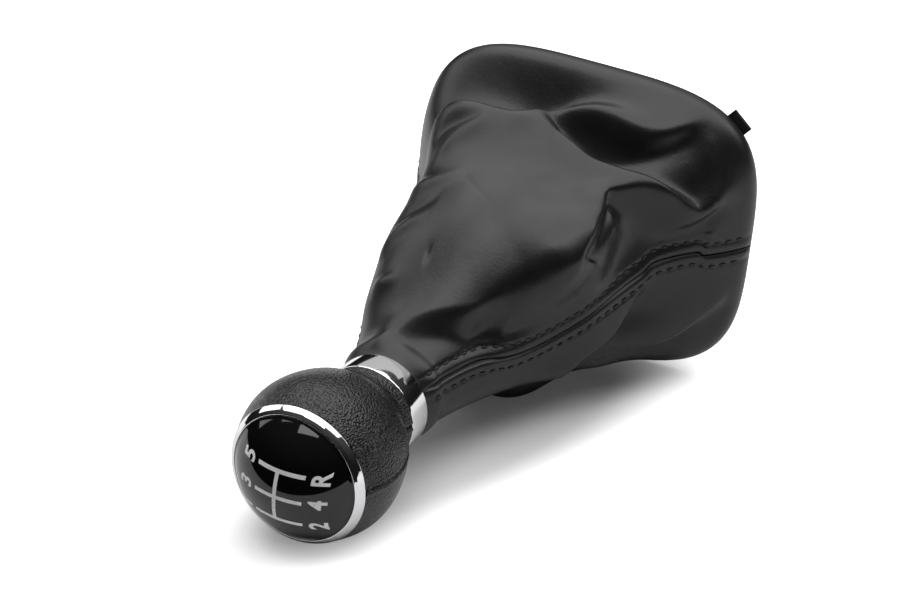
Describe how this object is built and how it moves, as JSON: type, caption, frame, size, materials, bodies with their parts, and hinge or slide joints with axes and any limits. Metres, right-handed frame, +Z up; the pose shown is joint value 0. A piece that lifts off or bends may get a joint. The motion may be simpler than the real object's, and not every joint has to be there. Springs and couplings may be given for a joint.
{
  "type": "gear shift knob with gaiter",
  "caption": "Round gear shift knob with a shift-pattern cap, chrome bezel and collar, and a sewn leather gaiter on a rounded snap-in frame, lying on its side.",
  "frame": {"origin": "mouth of the lever bore, on the knob's axis", "axes": "+Y along the lever bore and out of its mouth, from the knob towards the gaiter's frame; +Z up from the surface the part lies on; the cap faces -Y"},
  "size_m": [0.1346, 0.2022, 0.1172],
  "materials": {
    "cap_plastic": "high gloss",
    "chrome": "bright plated",
    "grip_skin": "grained satin",
    "core_plastic": "moulded matt",
    "clamp_steel": "plain",
    "gaiter_leather": "fine grain satin",
    "frame_plastic": "moulded matt"
  },
  "bodies": {
    "gaiter": {"gaiter_panel_upper": "gaiter_leather", "gaiter_panel_lower": "gaiter_leather", "gaiter_frame": "frame_plastic"},
    "knob": {"pattern_cap": "cap_plastic", "cap_bezel": "chrome", "grip_cover": "grip_skin", "knob_core": "core_plastic", "neck_collar": "chrome", "gaiter_retainer": "core_plastic", "sleeve_clamp": "clamp_steel"}
  },
  "joints": [
    {"name": "shift", "type": "hinge", "parent": "gaiter", "child": "knob", "pos_m": [0, 0.16, 0], "axis": [0, 0, 1], "range_deg": [-11, 11], "deforming": ["gaiter_panel_upper", "gaiter_panel_lower"]}
  ]
}
